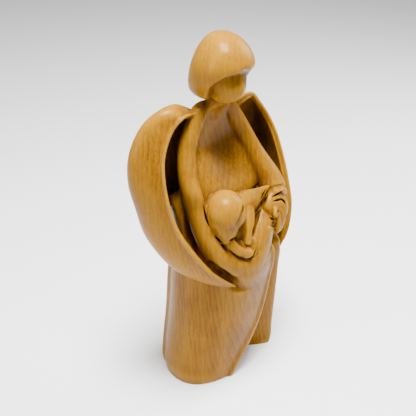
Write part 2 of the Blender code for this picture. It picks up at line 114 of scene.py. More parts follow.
def at_level(plan, centre, z):
    """A ring in plan, moved to its centre and lifted to height z."""
    return np.column_stack([plan + centre, np.full(len(plan), z)])


def add_loft(mesh, rings):
    """Adds a closed skin over rings of equal counts."""
    loops = [[mesh.verts.new(p * GRID) for p in ring] for ring in rings]
    faces = []
    for low, high in zip(loops, loops[1:]):
        for i, corner in enumerate(low):
            j = (i + 1) % len(low)
            faces.append(mesh.faces.new((corner, low[j], high[j], high[i])))
    for ring, loop in ((rings[0], loops[0]), (rings[-1], loops[-1])):
        middle = mesh.verts.new(np.mean(ring, axis=0) * GRID)
        for i, corner in enumerate(loop):
            faces.append(mesh.faces.new((corner, loop[(i + 1) % len(loop)], middle)))
    bmesh.ops.recalc_face_normals(mesh, faces=faces)


def add_sweep(mesh, keys, upright=(0, 0, 1), steps=70, sides=32, power=2.0):
    """Adds a rod through keys of (x, y, z, half width across, half width along upright)."""
    path = path_through(keys, steps)
    ahead = np.gradient(path[:, :3], axis=0)
    ahead /= np.linalg.norm(ahead, axis=1)[:, None]
    turns = np.linspace(0, 2 * np.pi, sides, endpoint=False)
    across, along = squared(np.cos(turns), power), squared(np.sin(turns), power)
    rings = []
    for (x, y, z, wide, tall), forward in zip(path, ahead):
        side = np.cross(forward, upright)
        side /= np.linalg.norm(side)
        up = np.cross(side, forward)
        around = np.outer(across * wide, side) + np.outer(along * tall, up)
        rings.append(np.array([x, y, z]) + around)
    add_loft(mesh, rings)


def add_egg(mesh, centre, halves, turn=0.0, rings=24, sides=40):
    """Adds an egg, turned about the upright line through its centre, in degrees."""
    turn = np.radians(turn)
    spin = np.array([[np.cos(turn), -np.sin(turn), 0], [np.sin(turn), np.cos(turn), 0], [0, 0, 1]])
    around = np.linspace(0, 2 * np.pi, sides, endpoint=False)
    loops = []
    for climb in np.radians(np.linspace(-90, 90, rings + 2)[1:-1]):
        ring = np.stack([np.cos(around), np.sin(around), np.full(sides, np.tan(climb))], 1)
        loops.append(centre + (ring * np.cos(climb) * halves) @ spin.T)
    add_loft(mesh, loops)


def add_turned(mesh, centre, axis, profile, sides=64):
    """Adds a form turned about an axis, from a profile of (place along it, radius)."""
    axis = np.array(axis) / np.linalg.norm(axis)
    side = np.cross(axis, (0, 0, 1))
    side /= np.linalg.norm(side)
    up = np.cross(side, axis)
    turns = np.linspace(0, 2 * np.pi, sides, endpoint=False)
    around = np.outer(np.cos(turns), side) + np.outer(np.sin(turns), up)
    add_loft(mesh, [centre + along * axis + radius * around for along, radius in profile])


BODY_KEYS = [
    # z, right, left, front, back, middle y, squareness, hollow of the chest, its half width
    (-FLOOR_SINK, 33.5, 32, 20.5, 22, 0, 2.4, 0, 14),
    (0, 34, 32.5, 21, 22.5, 0, 2.4, 0, 14),
    (4, 35, 33.5, 21.8, 23, 0, 2.35, 0, 14),
    (14, 34.5, 33, 23, 23, 0, 2.3, 0, 14),
    (40, 31.5, 31.5, 26.6, 21.5, 0, 2.25, 0, 14),
    (65, 29.5, 30, 29.3, 21, -0.3, 2.2, 0, 14),
    (78, 28.5, 28, 30.8, 21, -1, 2.15, 0, 14),
    (84, 28, 27.2, 29.6, 21.5, -1, 2.1, 0, 14),
    (88, 28, 27, 22, 22, -1, 2.1, 0, 14),
    (92, 28, 27.2, 12, 22, -1, 2.1, 0, 14),
    (98, 28, 28.5, 8, 22, -1, 2.1, 0, 14),
    (105, 28.5, 29, 8, 21.8, -1, 2.1, 0, 14),
    (109, 29, 29, 9, 21.5, -1, 2.1, 0, 14),
    (113, 29, 29, 12, 21, -1, 2.1, 0.3, 15),
    (117, 28, 28, 12.2, 14.2, -1, 2.1, 1.6, 15),
    (124, 26, 26, 9.4, 13.5, -1, 2.05, 4.2, 15),
    (132, 23, 23, 5.4, 13, -0.5, 2.0, 5.6, 15),
    (140, 21, 21, 4.2, 10, 3, 2.0, 4.6, 15),
    (148, 18.5, 18.5, 4, 9.5, 4, 2.0, 3, 15),
    (156, 14, 14, 4, 9, 4, 2.0, 1, 15),
    (161, 10, 10, 4.5, 9.5, 2.5, 2.0, 0.3, 15),
    (164, 7, 7, 4.4, 7.5, 0, 2.0, 0, 15),
    (176, 6, 6, 6, 6, -2, 2.0, 0, 15),
]
HOLLOW_MIDDLE_X = 3
HOLLOW_FACING = (0.0, 0.25)

MANTLE_EDGE_KEYS = [
    # z, angle of the mantle's free edge round the robe, angle of the left fold's corner
    (-FLOOR_SINK, -12, 51),
    (0, -10, 51),
    (20, 3, 51),
    (45, 18, 49),
    (75, 29, 47),
    (95, 34, 46),
    (110, 38, 44),
]
# the slit sinks and rises again over these degrees from the mantle's edge and from the fold's corner
SLIT_SINKS = (-1, 1.5)
SLIT_RISES = (-13, -2)
SLIT_DEPTH = 11
MANTLE_LIP = 1.3
MANTLE_LIP_BACK = 3
MANTLE_LIP_WIDTH = 3.5
FOLD_CORNER = 4.4
FOLD_CORNER_AHEAD = 1
FOLD_CORNER_WIDTH = 11

GROOVE_KEYS = [
    # z, then angle and depth of the groove behind the right sleeve, which runs on over the right wing's tip
    (64, -14, 0), (70, -26, 3), (78, -40, 6), (88, -56, 6.5), (96, -68, 6), (104, -78, 5),
    (112, -86, 5), (120, -92, 3), (128, -95, 0),
]
GROOVE_WIDTH = 8
LEFT_GROOVE_LEVELS = (88, 98)
MANTLE_TOP_LEVELS = (86, 98)
BACK_LEDGE_LEVELS = (107, 118)
BACK_FOLD_WIDTH = 6
BACK_FOLDS = ((-134, 2.6), (-154, 1), (180, 1.2), (154, 1), (134, 2.2))


def body_rings():
    """The robe from the floor to the neck: slit, left fold, chest hollow and the folds of the back."""
    angles = turn_angles()
    out = directions(angles)
    levels = np.arange(BODY_KEYS[0][0], BODY_KEYS[-1][0] + LEVEL_STEP / 2, LEVEL_STEP)
    sizes = through(BODY_KEYS, levels)
    edges = through(MANTLE_EDGE_KEYS, levels)
    grooves = through(GROOVE_KEYS, levels)
    rings = []
    for z, size, (edge, corner), (groove, depth) in zip(levels, sizes, edges, grooves):
        right, left, front, back, middle_y, power, hollow, hollow_width = size
        plan = squared_oval(angles, right, left, front, back, power)
        below = 1 - rise(*MANTLE_TOP_LEVELS, z)
        in_slit = rise(edge + SLIT_SINKS[0], edge + SLIT_SINKS[1], angles)
        in_slit *= 1 - rise(corner + SLIT_RISES[0], corner + SLIT_RISES[1], angles)
        push = -SLIT_DEPTH * in_slit * below
        push += MANTLE_LIP * hump(angles, edge - MANTLE_LIP_BACK, MANTLE_LIP_WIDTH) * below
        push += FOLD_CORNER * hump(angles, corner + FOLD_CORNER_AHEAD, FOLD_CORNER_WIDTH) * below
        push -= depth * hump(angles, groove, GROOVE_WIDTH)
        push -= depth * hump(angles, -groove, GROOVE_WIDTH) * rise(*LEFT_GROOVE_LEVELS, z)
        behind = 1 - rise(*BACK_LEDGE_LEVELS, z)
        for turn, height in BACK_FOLDS:
            apart = (angles - turn + 180) % 360 - 180
            push += height * hump(apart, 0, BACK_FOLD_WIDTH) * behind
        plan = plan + out * push[:, None]
        facing = rise(*HOLLOW_FACING, np.cos(np.radians(angles)))
        plan[:, 1] += hollow * hump(plan[:, 0], HOLLOW_MIDDLE_X, hollow_width) * facing
        rings.append(at_level(plan, (0, middle_y), z))
    return rings


RIGHT_SLEEVE = [
    # x, y, z, half width across, half width along upright; it runs on as the rim of the cradle
    (-4, 5, 161.5, 3.6, 3.6), (-9.8, 4.6, 159, 4.6, 4.8), (-15.7, 4.1, 150.3, 4.8, 5.2),
    (-20.2, 2.7, 141.8, 4.9, 5.3), (-23.7, -1.3, 131.2, 5, 5.6),
    (-25, -5.1, 123.5, 4.9, 6), (-24.7, -8, 114, 4.5, 6), (-25, -12.6, 104, 4.3, 5.8),
    (-24, -17.3, 96, 4.2, 5.6), (-20.5, -21.7, 88, 3.9, 5.2), (-14.8, -25.4, 83, 3.2, 5),
    (-7.8, -28.7, 79.7, 2.4, 5.5),
    (-1, -30.2, 80, 2.0, 5.5), (4, -30, 83.5, 1.8, 5.5), (9, -28.8, 89.5, 1.6, 5), (13, -27.3, 96, 1.4, 4),
]
LEFT_SLEEVE = [
    (4, 5, 161.5, 3.6, 3.6), (9.8, 4.6, 159, 4.6, 4.8), (15.7, 4.1, 150.3, 4.8, 5.2),
    (20.2, 2.7, 141.8, 4.9, 5.3), (23.7, -1.3, 131.2, 5.2, 5.9), (25.8, -6, 123, 5.9, 6.8),
    (27.4, -11.4, 115.6, 6.7, 7.6), (27, -15, 111.8, 7, 7.4), (26.3, -17, 110, 6.8, 7.2),
]
LEFT_CUFF = [(26.4, -15, 111.6, 6.1, 6.3), (25.8, -17.8, 109.1, 6, 6.2)]
LEFT_CUFF_HEM = [(25.8, -18.2, 108.7, 6.7, 6.9), (25.3, -20, 107.1, 6.6, 6.8)]
LEFT_HAND = [
    (25, -18.4, 108.4, 5.6, 4.8), (22.4, -21.4, 105.4, 7.8, 4.6), (20.8, -23.8, 101.8, 7.8, 4),
    (19.4, -25.2, 98.6, 5, 3), (19.4, -26, 96.2, 3, 2),
]
HAND_UPRIGHT = (0, -0.77, 0.64)
THUMB = [
    (20.5, -23, 105.5, 2.2, 2.2), (18, -25.6, 104.4, 1.9, 1.9), (15.8, -27.6, 102.6, 1.6, 1.6),
    (15, -28.2, 101.4, 0.8, 0.8),
]
FINGER_TOPS = ((18, -26.4), (20.6, -26.4), (23.4, -25.4), (26, -23.4))
FINGER_ENDS = ((17.4, -28.6), (19.6, -28.4), (22.2, -27.2), (24.8, -25))
FINGER_LEVELS = (103.5, 98, 94, 91)
FINGER_RADIUS = 1.5
FINGER_TIP_RADIUS = 1.0
KNUCKLE_OUT = 0.8
FINGER_TIP_IN = 0.5
HAND_SQUARENESS = 2.4

RIGHT_WING = {
    "rim": [
        (-14, 4, 160), (-23.7, 0.8, 162), (-31, 1.8, 156.5), (-38.3, -0.1, 146), (-42, -4, 134.5),
        (-43.2, -9, 121), (-42.2, -13.8, 110), (-37.5, -20.9, 97), (-29, -25.3, 84), (-14.4, -27.4, 70.4),
    ],
    "bulge": [
        (-13, 9.5, 161.5), (-24.5, 9.5, 166.5), (-37.5, 14, 160), (-43.5, 19, 145), (-45, 20, 129),
        (-44, 17, 114), (-43.5, 10, 98), (-38.5, -4, 83), (-27.5, -18.5, 74.5), (-14.6, -26.8, 70),
    ],
    "back": [
        (-5, 11, 156), (-6, 13, 157.5), (-7, 15, 152), (-7.5, 17, 143), (-8, 17.5, 129), (-10, 18.5, 112),
        (-20.5, 18.5, 111), (-30, 6, 91), (-23, -15, 77), (-15, -25.4, 70.6),
    ],
}
LEFT_WING = {
    "rim": [
        (15, 4, 158), (23.7, 0.8, 162), (31, 1.8, 156.5), (38.3, -0.1, 146), (42, -4, 134.5),
        (43, -9, 121), (42.2, -13.8, 109), (41, -18, 95), (37.5, -19.5, 80), (31, -19, 69.5),
    ],
    "bulge": [
        (13, 10, 152), (25, 9.5, 158), (36.5, 13, 153.5), (43, 18, 142.5), (45, 20, 129), (44.5, 16, 114),
        (43.5, 8, 99), (41.5, -3, 84), (37, -11, 73.5), (31.5, -16.5, 68.5),
    ],
    "back": [
        (5, 11, 150), (6, 13, 152), (7, 15, 149), (7.5, 17, 143), (8, 17.5, 129), (10, 18.5, 112),
        (20.5, 18.5, 111), (31, 5, 91), (30, -8, 77), (27, -14, 70),
    ],
}
WING_THICKNESS = 4.2
WING_RIM_THICKNESS = 2.4
WING_TIP_TAPER = 0.55
WING_TAPER_START = 0.86
WING_CROWN = 0.7
WING_BEADS = (0.8, 0.9, 1, 1, 1, 1, 1, 1, 0.8, 0.4)
WING_RINGS = 90
WING_SIDES = 30


def wing_rings(lines, side):
    """A wing as a curved leaf: each ring runs along its outer face from rim to back edge, and back inside."""
    rim, bulge, back = (path_through(lines[name], WING_RINGS) for name in ("rim", "bulge", "back"))
    t = np.linspace(0, 1, WING_SIDES)[:, None]
    ahead = np.gradient(bulge, axis=0)
    rings = []
    tapers = 1 - WING_TIP_TAPER * rise(WING_TAPER_START, 1, np.linspace(0, 1, WING_RINGS))
    for start, middle, end, forward, taper in zip(rim, bulge, back, ahead, tapers):
        control = 2 * middle - (start + end) / 2
        outer = (1 - t) ** 2 * start + 2 * t * (1 - t) * control + t**2 * end
        inward = np.cross(forward, np.gradient(outer, axis=0)) * side
        inward /= np.linalg.norm(inward, axis=1)[:, None] + 1e-9
        crown = np.sin(np.pi * t) ** WING_CROWN
        thick = WING_RIM_THICKNESS + (WING_THICKNESS - WING_RIM_THICKNESS) * crown
        inner = outer + inward * thick * taper
        rings.append(np.concatenate([outer, inner[::-1]]))
    return rings


HAIR_KEYS = [
    # z, sides, front, back, middle y
    (167.5, 6, 6, 9, 2),
    (168.3, 10.5, 10, 12, 1.2),
    (170, 13, 12.5, 14, 0.8),
    (174, 14.8, 14.5, 15, 0.3),
    (180, 15.4, 15.6, 15, -0.8),
    (186, 15, 15.6, 14.8, -2.4),
    (191, 13.2, 13.6, 13, -2.7),
    (195, 10.6, 10.8, 10.2, -2.3),
    (198, 7.2, 7.2, 6.8, -1.6),
    (199.6, 3.4, 3.4, 3.2, -1),
    (200, 0.8, 0.8, 0.8, -1),
]
HAIR_SIDE_RIDGE = 0.5
FACE_OPENING_KEYS = [
    # z, half angle of the opening in the hair
    (166, 74), (170, 70), (174, 64), (178.5, 54), (180.5, 45), (183, 30), (184.5, 6),
]
FACE_RECESS = 9
FRINGE_LEVELS = (175.5, 187)
FRINGE_SPREAD = 8
HAIR_RIDGE_ANGLE = 68
HAIR_RIDGE_WIDTH = 9
HAIR_RIDGE_START = (168, 174)
HAIR_RIDGE_END = (188, 196)
HAIR_STEP = 0.5
HAIR_SQUARENESS = 2.15


def hair_rings():
    """The bobbed hair as a cap, hollowed at the front for the face."""
    angles = turn_angles()
    out = directions(angles)
    levels = np.arange(HAIR_KEYS[0][0], HAIR_KEYS[-1][0] + HAIR_STEP / 10, HAIR_STEP)
    sizes = through(HAIR_KEYS, levels)
    openings = through(FACE_OPENING_KEYS, levels)
    rings = []
    for z, (sides, front, back, middle_y), (opening,) in zip(levels, sizes, openings):
        plan = squared_oval(angles, sides, sides, front, back, HAIR_SQUARENESS)
        in_face = 1 - rise(opening - FRINGE_SPREAD, opening + FRINGE_SPREAD, np.abs(angles))
        in_face = in_face * (1 - rise(*FRINGE_LEVELS, z))
        ridge = HAIR_SIDE_RIDGE * hump(np.abs(angles), HAIR_RIDGE_ANGLE, HAIR_RIDGE_WIDTH)
        ridge = ridge * rise(*HAIR_RIDGE_START, z) * (1 - rise(*HAIR_RIDGE_END, z))
        plan = plan + out * (ridge - FACE_RECESS * in_face)[:, None]
        rings.append(at_level(plan, (0, middle_y), z))
    return rings


FACE_KEYS = [
    # z, half width, front, back, middle y: the blank face comes to a soft ridge down its middle
    (166.2, 2, 2, 2, -7),
    (166.8, 5.2, 5.2, 5.5, -5.6),
    (168.5, 8, 8.6, 7, -4.5),
    (172, 9.8, 11, 8, -4),
    (175, 10.6, 11.2, 8, -4),
    (180, 11.8, 9.8, 8, -4),
    (186, 12, 8.4, 8, -4),
    (190, 6, 7, 6, -4),
]
FACE_RIDGE = 0.7
FACE_RIDGE_WIDTH = 14
FACE_RIDGE_LEVELS = (168, 172)
FACE_STEP = 0.7
FACE_SQUARENESS = 1.9


def face_rings():
    """The blank face, two plain planes that meet down its middle."""
    angles = turn_angles()
    out = directions(angles)
    levels = np.arange(FACE_KEYS[0][0], FACE_KEYS[-1][0], FACE_STEP)
    rings = []
    for z, (sides, front, back, middle_y) in zip(levels, through(FACE_KEYS, levels)):
        plan = squared_oval(angles, sides, sides, front, back, FACE_SQUARENESS)
        ridge = FACE_RIDGE * hump(angles, 0, FACE_RIDGE_WIDTH) * rise(*FACE_RIDGE_LEVELS, z)
        plan = plan + out * ridge[:, None]
        rings.append(at_level(plan, (0, middle_y), z))
    return rings


CHILD_HEAD = (-12.6, -17.2, 112)
CHILD_HEAD_RADIUS = 11.3
CHILD_LOOKS = (0.66, -0.56, -0.5)
CHILD_HAIR_BACK = -86
CHILD_HAIR_EDGE = 22
CHILD_FACE_ARC = (4, 86)
CHILD_FACE_RADIUS = 8.2
CHILD_FACE_START = 4
CHILD_FACE_REACH = 7.4
CHILD_NAPE = [
    (-14.5, -16.5, 111, 9.6, 9.6), (-14.9, -18.2, 106, 9, 9), (-15.7, -20.1, 101, 6.4, 6.4),
    (-17.2, -21.3, 96.6, 2.4, 2.4),
]
FACING_OUT = (-0.6, -0.6, 0.5)
CHILD_WRAP = [
    (0, -16, 110, 3, 6.5), (8, -16.8, 111, 3, 5.8), (12.5, -17, 112, 2.4, 4.2), (16, -17.6, 113.4, 1.6, 2.6),
    (20, -18.4, 115, 0.9, 0.9),
]
WRAP_UPRIGHT = (0, 0.5, 0.86)
WRAP_SQUARENESS = 1.6
CHILD_FAR_ARM = [
    (5.3, -16.5, 110, 3.2, 3), (2.2, -19.7, 106, 3.9, 3.4), (-1.1, -22.7, 100.5, 3.7, 3.4),
    (-5, -26.2, 92.4, 2.6, 2.6),
]
CHILD_NEAR_ARM = [
    (-15, -20, 99, 3, 3.2), (-14, -23, 95, 3.2, 3.2), (-11.5, -26, 91.5, 2.8, 2.8),
    (-7.5, -28.4, 89.2, 2.3, 2.3),
]
FAR_ARM_SQUARENESS = 1.3
CHILD_HANDS = (-7.2, -28.6, 89)
CHILD_HANDS_HALVES = (3.6, 2.6, 2.6)
CHILD_HANDS_TURN = -20
CHILD_GOWN = [
    (17.8, -20.6, 102.6, 4.6, 2.4), (10.3, -23.2, 97.8, 5, 3), (3.4, -26, 91.6, 4.2, 3),
    (-4, -27.6, 86, 2.6, 2.6),
]
GOWN_SQUARENESS = 3


def child_head_profile():
    """The round back of the hair, its cut edge, and the smaller blank face inside the edge."""
    hair = np.radians(np.linspace(CHILD_HAIR_BACK, CHILD_HAIR_EDGE, 24))
    face = np.radians(np.linspace(*CHILD_FACE_ARC, 14))
    back = [(CHILD_HEAD_RADIUS * np.sin(a), CHILD_HEAD_RADIUS * np.cos(a)) for a in hair]
    front = [
        (CHILD_FACE_START + CHILD_FACE_REACH * np.sin(a), CHILD_FACE_RADIUS * np.cos(a)) for a in face
    ]
    return back + front


def add_child(mesh):
    """The child: bobbed head, blank face, two arms that meet, and the wrapped gown."""
    add_turned(mesh, CHILD_HEAD, CHILD_LOOKS, child_head_profile())
    add_sweep(mesh, CHILD_NAPE, upright=(1, 0, 0))
    add_sweep(mesh, CHILD_WRAP, upright=WRAP_UPRIGHT, power=WRAP_SQUARENESS)
    add_sweep(mesh, CHILD_FAR_ARM, upright=FACING_OUT, power=FAR_ARM_SQUARENESS)
    add_sweep(mesh, CHILD_NEAR_ARM)
    add_egg(mesh, CHILD_HANDS, CHILD_HANDS_HALVES, turn=CHILD_HANDS_TURN)
    add_sweep(mesh, CHILD_GOWN, upright=FACING_OUT, power=GOWN_SQUARENESS)


CRADLE_FILL = [
    # centre and half sizes of the rounds that fill the lap and back the child
    ((0, -16.8, 96), (12, 7.5, 9)),
    ((16.5, -24, 98.5), (3.2, 3.2, 4.5)),
    ((12, -8, 101), (14, 11, 10)),
    ((23.5, -11.5, 99), (7, 9, 10)),
    ((-1, -13, 88), (25, 16, 9.5)),
]


def add_left_hand(mesh):
    """The hand that holds the mantle's corner: cuff with its hem, palm, thumb and four fingers."""
    add_sweep(mesh, LEFT_CUFF)
    add_sweep(mesh, LEFT_CUFF_HEM)
    add_sweep(mesh, LEFT_HAND, upright=HAND_UPRIGHT, power=HAND_SQUARENESS)
    add_sweep(mesh, THUMB, steps=24, sides=16)
    top, high, low, end = FINGER_LEVELS
    for (top_x, top_y), (end_x, end_y) in zip(FINGER_TOPS, FINGER_ENDS):
        finger = [
            (top_x, top_y, top, FINGER_RADIUS, FINGER_RADIUS),
            (top_x, (top_y + end_y) / 2 - KNUCKLE_OUT, high, FINGER_RADIUS, FINGER_RADIUS),
            (end_x, end_y, low, FINGER_RADIUS, FINGER_RADIUS),
            (end_x, end_y + FINGER_TIP_IN, end, FINGER_TIP_RADIUS, FINGER_TIP_RADIUS),
        ]
        add_sweep(mesh, finger, upright=(1, 0, 0), steps=24, sides=16)


def add_wing(mesh, lines, side):
    """One wing with the thin bead along its rim."""
    add_loft(mesh, wing_rings(lines, side))
    add_sweep(mesh, [(*point, bead, bead) for point, bead in zip(lines["rim"], WING_BEADS)], sides=16)


def all_forms():
    """Every form of the carving as closed skins that run into one another."""
    mesh = bmesh.new()
    add_loft(mesh, body_rings())
    add_sweep(mesh, RIGHT_SLEEVE)
    add_sweep(mesh, LEFT_SLEEVE)
    add_wing(mesh, RIGHT_WING, 1)
    add_wing(mesh, LEFT_WING, -1)
    add_loft(mesh, hair_rings())
    add_loft(mesh, face_rings())
    for centre, halves in CRADLE_FILL:
        add_egg(mesh, centre, halves)
    add_child(mesh)
    add_left_hand(mesh)
    data = bpy.data.meshes.new("guardian_angel")
    mesh.to_mesh(data)
    mesh.free()
    return data


def hidden_cutter(name, mesh):
    """An object that only cuts: drawn as wire and left out of renders."""
    data = bpy.data.meshes.new(name)
    mesh.to_mesh(data)
    mesh.free()
    cutter = bpy.data.objects.new(name, data)
    cutter.hide_render = True
    cutter.display_type = "WIRE"
    bpy.context.scene.collection.objects.link(cutter)
    return cutter


CARVED_LINES = {
    # half width and half depth of the cut, then the places on the surface that it runs through
    "wide slot beside the wrap's end": (0.95, 3.2, [
        (13.6, -20.2, 104.8), (15.5, -20.2, 108.6), (18.5, -19.6, 111.2),
    ]),
    "thin slot beside it": (0.5, 2, [(12.3, -19.9, 110.4), (14.5, -19.4, 112.4), (17.2, -18.9, 114.4)]),
    "upper groove of the cuff": (0.7, 1.5, [(18.4, -22.4, 110.2), (22, -23.1, 111), (26.8, -23.8, 112.2)]),
    "lower groove of the cuff": (0.7, 1.6, [
        (17.8, -23.4, 108.4), (20.5, -24.4, 108.4), (23.7, -24.9, 107.8), (24.9, -26.1, 106.1),
        (24.8, -27.2, 104.4),
    ]),
    "line below the thumb": (0.75, 2, [(13.4, -25.5, 101), (14.4, -26.7, 100.2), (15.4, -28.2, 100.4)]),
    "line beside the thumb": (0.6, 1.5, [(16.4, -28.4, 103), (17.6, -28.1, 104.4), (19.8, -27.4, 105.6)]),
    "valley beside the gown": (1.5, 3, [
        (12.6, -19.8, 103.8), (8, -21.3, 101.8), (3.8, -23.6, 99.8), (0.6, -25.4, 97.4), (-2, -27, 94.2),
    ]),
    "edge of the child's hair": (0.55, 1.5, [
        (-6.7, -19.9, 121.1), (-5.6, -22.2, 119.4), (-5.4, -23.4, 116.9), (-8.2, -25.4, 114.3),
        (-10.8, -26.7, 113.1),
    ]),
    "gap below the child's chin": (1, 2.6, [(-17, -24.3, 99.5), (-15, -25, 99.8), (-11.8, -24.2, 99)]),
    "line behind the child's hair": (0.8, 2.2, [
        (-23.8, -12.8, 118.1), (-23.6, -14, 112.6), (-23, -16, 107.4), (-21.2, -17.9, 102.6),
        (-20.2, -19.9, 99.8), (-19, -22, 98),
    ]),
    "line below the child's arms": (0.65, 1.5, [
        (-16.9, -23.8, 94.4), (-15.6, -25.5, 92.1), (-12.3, -27.4, 88.3), (-8.1, -29.4, 86.4),
        (-4.1, -30, 86.8), (-1.3, -29.7, 89.6),
    ]),
    "undercut above the right wing's tip": (2.8, 5, [
        (-29.5, -18, 90), (-27, -20, 87.5), (-24, -22, 84), (-19.5, -24, 79.5), (-14.8, -25.5, 75.2),
    ]),
}
LINE_TAPER = 0.25
LINE_STEPS = 26
LINE_SIDES = 8


def carved_line_cutter():
    """Hidden blades that cut the carved lines, each deepest along its middle."""
    mesh = bmesh.new()
    for wide, deep, places in CARVED_LINES.values():
        ends = (0, len(places) - 1)
        shares = [LINE_TAPER if i in ends else 1 for i in range(len(places))]
        keys = [(*place, wide * share, deep * share) for place, share in zip(places, shares)]
        add_sweep(mesh, keys, upright=FACING_OUT, steps=LINE_STEPS, sides=LINE_SIDES)
    return hidden_cutter("line cutter", mesh)


def floor_cutter():
    """A hidden block below z = 0 that cuts the underside flat."""
    mesh = bmesh.new()
    bmesh.ops.create_cube(mesh, size=1)
    bmesh.ops.scale(mesh, vec=np.array((2, 2, 1)) * FLOOR_REACH * GRID, verts=mesh.verts)
    bmesh.ops.translate(mesh, vec=(0, 0, -FLOOR_REACH * GRID / 2), verts=mesh.verts)
    return hidden_cutter("floor cutter", mesh)


def plain_copy(thing, name):
    """The finished mesh of an object with its modifiers, as an object of its own."""
    seen = thing.evaluated_get(bpy.context.evaluated_depsgraph_get())
    data = bpy.data.meshes.new_from_object(seen)
    data.name = name
    made = bpy.data.objects.new(name, data)
    bpy.context.scene.collection.objects.link(made)
    return made


def carved_figure():
    """The forms fused, sanded soft, thinned, cut along the carved lines and cut flat below."""
    rough = bpy.data.objects.new("rough forms", all_forms())
    bpy.context.scene.collection.objects.link(rough)
    fuse = rough.modifiers.new("fuse the forms", "REMESH")
    fuse.mode = "VOXEL"
    fuse.voxel_size = FUSE_SIZE * GRID
    fuse.use_smooth_shade = True
    soften = rough.modifiers.new("soften", "SMOOTH")
    soften.factor = SOFTEN_FACTOR
    soften.iterations = SOFTEN_PASSES
    thin = rough.modifiers.new("fewer facets", "DECIMATE")
    thin.ratio = KEPT_SHARE
    cutters = (carved_line_cutter(), floor_cutter())
    for cutter in cutters:
        cut = rough.modifiers.new(cutter.name, "BOOLEAN")
        cut.operation = "DIFFERENCE"
        cut.solver = "EXACT"
        cut.object = cutter
    figure = plain_copy(rough, "angel_figure")
    for done in (rough, *cutters):
        bpy.data.objects.remove(done)
    return figure


HOLLOW_PASSES = 60
HOLLOW_EVENING_PASSES = 3
HOLLOW_DEPTH = 1.0


def spread_out(values, ends, counts, passes):
    """Values at the points, averaged with their neighbours again and again."""
    for _ in range(passes):
        sums = np.stack(
            [np.bincount(ends[:, 0], values[ends[:, 1], i], len(values)) for i in range(values.shape[1])], 1
        )
        values = (values + sums / counts) / 2
    return values


def mark_hollows(figure):
    """Stores at each point how far it lies in a groove (up to 1) or on a ridge (down to 0); the wood paints
    shade into the grooves and a lighter tone of wear and painted glow onto the ridges.
    """
    data = figure.data
    count = len(data.vertices)
    points = np.empty(count * 3)
    data.vertices.foreach_get("co", points)
    points = points.reshape(-1, 3)
    normals = np.empty(count * 3)
    data.vertices.foreach_get("normal", normals)
    normals = normals.reshape(-1, 3)
    edges = np.empty(len(data.edges) * 2, int)
    data.edges.foreach_get("vertices", edges)
    edges = edges.reshape(-1, 2)
    ends = np.concatenate([edges, edges[:, ::-1]])
    counts = np.bincount(ends[:, 0], minlength=count)[:, None]
    smooth = spread_out(points, ends, counts, HOLLOW_PASSES)
    depth = np.einsum("ij,ij->i", smooth - points, normals) / (HOLLOW_DEPTH * GRID)
    depth = spread_out(depth[:, None], ends, counts, HOLLOW_EVENING_PASSES)[:, 0]
    layer = data.attributes.new("hollow", "FLOAT", "POINT")
    layer.data.foreach_set("value", np.clip(0.5 + depth / 2, 0, 1).astype(np.float32))


class Nodes:
    """Adds shader nodes to one material and joins them."""

    def __init__(self, material):
        self.tree = material.node_tree

    def add(self, kind, settings=(), **inputs):
        """A node with its settings, and with values or links at its inputs."""
        node = self.tree.nodes.new(kind)
        for key, value in dict(settings).items():
            setattr(node, key, value)
        for key, value in inputs.items():
            self.put(node, key.replace("_", " "), value)
        return node

    def put(self, node, place, value):
        """Links a socket to an input, or sets a plain value on it."""
        if isinstance(value, bpy.types.NodeSocket):
            self.tree.links.new(value, node.inputs[place])
        else:
            node.inputs[place].default_value = value

    def math(self, operation, first, second):
        """A sum or a product of two values."""
        node = self.add("ShaderNodeMath", {"operation": operation})
        self.put(node, 0, first)
        self.put(node, 1, second)
        return node.outputs[0]

    def mix_colour(self, blend, share, low, high, most):
        """Two colours blended by a share of 0 to 1, which reaches `most` at its fullest."""
        node = self.add("ShaderNodeMix", {"data_type": "RGBA", "blend_type": blend})
        self.put(node, 0, self.math("MULTIPLY", share, most))
        self.put(node, 6, low)
        self.put(node, 7, (*high, 1))
        return node.outputs[2]

    def mix_vector(self, place, push, share):
        """A place shifted by a share of a colour taken as a vector round its middle."""
        centred = self.add("ShaderNodeVectorMath", {"operation": "SUBTRACT"})
        self.put(centred, 0, push)
        self.put(centred, 1, (0.5, 0.5, 0.5))
        node = self.add("ShaderNodeVectorMath", {"operation": "MULTIPLY_ADD"})
        self.put(node, 0, centred.outputs[0])
        self.put(node, 1, (share, share, share))
        self.put(node, 2, place)
        return node.outputs[0]

    def stretch(self, value, low, high):
        """0 at low and 1 at high; low may be the greater of the two."""
        return self.add("ShaderNodeMapRange", Value=value, From_Min=low, From_Max=high).outputs["Result"]

    def ramp(self, value, stops):
        """Colours along a value."""
        node = self.tree.nodes.new("ShaderNodeValToRGB")
        bar = node.color_ramp
        for i, (place, colour) in enumerate(stops):
            stop = bar.elements[i] if i < len(bar.elements) else bar.elements.new(place)
            stop.position = place
            stop.color = (*colour, 1)
        self.tree.links.new(value, node.inputs["Fac"])
        return node.outputs["Color"]


